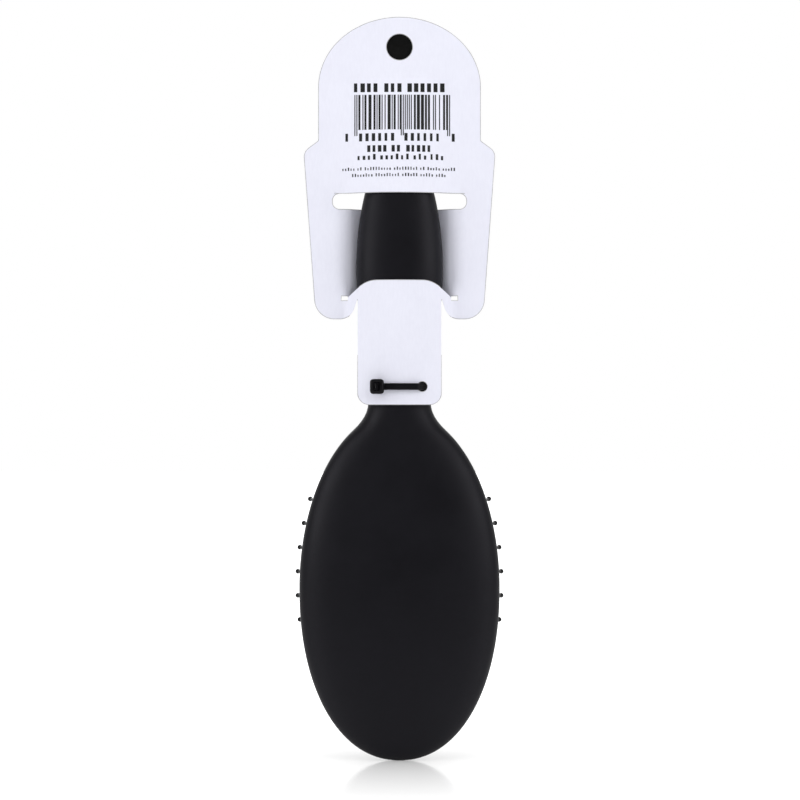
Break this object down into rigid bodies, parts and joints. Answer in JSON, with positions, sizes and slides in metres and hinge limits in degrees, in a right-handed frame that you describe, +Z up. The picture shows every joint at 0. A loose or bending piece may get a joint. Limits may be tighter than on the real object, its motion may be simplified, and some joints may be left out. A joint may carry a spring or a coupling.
{
  "type": "detangling hair brush",
  "caption": "Oval cushioned detangling hair brush with ball-tipped pins and a slim handle, threaded through a hang card and locked by a cable tie.",
  "frame": {"origin": "centre of the hang hole, in the middle of the card's thickness", "axes": "+Z up along the handle, +Y through the hang hole the way the pins point, +X across the brush"},
  "size_m": [0.0706, 0.0502, 0.2439],
  "materials": {
    "soft_touch": "matte",
    "cushion_rubber": "matte",
    "pin_nylon": "satin",
    "card": "matte",
    "tie_nylon": "satin"
  },
  "bodies": {
    "brush_body": {"back_shell": "soft_touch", "front_shell": "soft_touch", "hang_card": "card", "cable_tie": "tie_nylon"},
    "cushion_body": {"cushion": "cushion_rubber"},
    "pins_01": {"pin_column_01": "pin_nylon"},
    "pins_02": {"pin_column_02": "pin_nylon"},
    "pins_03": {"pin_column_03": "pin_nylon"},
    "pins_04": {"pin_column_04": "pin_nylon"},
    "pins_05": {"pin_column_05": "pin_nylon"},
    "pins_06": {"pin_column_06": "pin_nylon"},
    "pins_07": {"pin_column_07": "pin_nylon"},
    "pins_08": {"pin_column_08": "pin_nylon"},
    "pins_09": {"pin_column_09": "pin_nylon"},
    "pins_10": {"pin_column_10": "pin_nylon"},
    "pins_11": {"pin_column_11": "pin_nylon"},
    "pins_12": {"pin_column_12": "pin_nylon"},
    "pins_13": {"pin_column_13": "pin_nylon"},
    "pins_14": {"pin_column_14": "pin_nylon"},
    "pins_15": {"pin_column_15": "pin_nylon"}
  },
  "joints": [
    {"name": "cushion_press", "type": "slide", "parent": "brush_body", "child": "cushion_body", "axis": [0, -1, 0], "range_m": [0, 0.0035], "stiffness_N_per_m": 2500, "deforming": ["cushion"]},
    {"name": "pin_rock_01", "type": "hinge", "parent": "cushion_body", "child": "pins_01", "pos_m": [-0.02316, 0.00745, -0.1709], "axis": [0, 0, 1], "range_deg": [-10, 10], "stiffness_Nm_per_rad": 0.05, "deforming": ["cushion"]},
    {"name": "pin_rock_02", "type": "hinge", "parent": "cushion_body", "child": "pins_02", "pos_m": [-0.01963, 0.00852, -0.1745], "axis": [0, 0, 1], "range_deg": [-10, 10], "stiffness_Nm_per_rad": 0.05, "deforming": ["cushion"]},
    {"name": "pin_rock_03", "type": "hinge", "parent": "cushion_body", "child": "pins_03", "pos_m": [-0.01618, 0.00921, -0.1745], "axis": [0, 0, 1], "range_deg": [-10, 10], "stiffness_Nm_per_rad": 0.05, "deforming": ["cushion"]},
    {"name": "pin_rock_04", "type": "hinge", "parent": "cushion_body", "child": "pins_04", "pos_m": [-0.01278, 0.00964, -0.1745], "axis": [0, 0, 1], "range_deg": [-10, 10], "stiffness_Nm_per_rad": 0.05, "deforming": ["cushion"]},
    {"name": "pin_rock_05", "type": "hinge", "parent": "cushion_body", "child": "pins_05", "pos_m": [-0.00945, 0.00988, -0.1745], "axis": [0, 0, 1], "range_deg": [-10, 10], "stiffness_Nm_per_rad": 0.05, "deforming": ["cushion"]},
    {"name": "pin_rock_06", "type": "hinge", "parent": "cushion_body", "child": "pins_06", "pos_m": [-0.0062, 0.00995, -0.1745], "axis": [0, 0, 1], "range_deg": [-10, 10], "stiffness_Nm_per_rad": 0.05, "deforming": ["cushion"]},
    {"name": "pin_rock_07", "type": "hinge", "parent": "cushion_body", "child": "pins_07", "pos_m": [-0.00315, 0.01031, -0.1745], "axis": [0, 0, 1], "range_deg": [-10, 10], "stiffness_Nm_per_rad": 0.05, "deforming": ["cushion"]},
    {"name": "pin_rock_08", "type": "hinge", "parent": "cushion_body", "child": "pins_08", "pos_m": [0, 0.01017, -0.1745], "axis": [0, 0, 1], "range_deg": [-10, 10], "stiffness_Nm_per_rad": 0.05, "deforming": ["cushion"]},
    {"name": "pin_rock_09", "type": "hinge", "parent": "cushion_body", "child": "pins_09", "pos_m": [0.00315, 0.01031, -0.1745], "axis": [0, 0, 1], "range_deg": [-10, 10], "stiffness_Nm_per_rad": 0.05, "deforming": ["cushion"]},
    {"name": "pin_rock_10", "type": "hinge", "parent": "cushion_body", "child": "pins_10", "pos_m": [0.0062, 0.00995, -0.1745], "axis": [0, 0, 1], "range_deg": [-10, 10], "stiffness_Nm_per_rad": 0.05, "deforming": ["cushion"]},
    {"name": "pin_rock_11", "type": "hinge", "parent": "cushion_body", "child": "pins_11", "pos_m": [0.00945, 0.00988, -0.1745], "axis": [0, 0, 1], "range_deg": [-10, 10], "stiffness_Nm_per_rad": 0.05, "deforming": ["cushion"]},
    {"name": "pin_rock_12", "type": "hinge", "parent": "cushion_body", "child": "pins_12", "pos_m": [0.01278, 0.00964, -0.1745], "axis": [0, 0, 1], "range_deg": [-10, 10], "stiffness_Nm_per_rad": 0.05, "deforming": ["cushion"]},
    {"name": "pin_rock_13", "type": "hinge", "parent": "cushion_body", "child": "pins_13", "pos_m": [0.01618, 0.00921, -0.1745], "axis": [0, 0, 1], "range_deg": [-10, 10], "stiffness_Nm_per_rad": 0.05, "deforming": ["cushion"]},
    {"name": "pin_rock_14", "type": "hinge", "parent": "cushion_body", "child": "pins_14", "pos_m": [0.01963, 0.00852, -0.1745], "axis": [0, 0, 1], "range_deg": [-10, 10], "stiffness_Nm_per_rad": 0.05, "deforming": ["cushion"]},
    {"name": "pin_rock_15", "type": "hinge", "parent": "cushion_body", "child": "pins_15", "pos_m": [0.02316, 0.00745, -0.1709], "axis": [0, 0, 1], "range_deg": [-10, 10], "stiffness_Nm_per_rad": 0.05, "deforming": ["cushion"]}
  ]
}
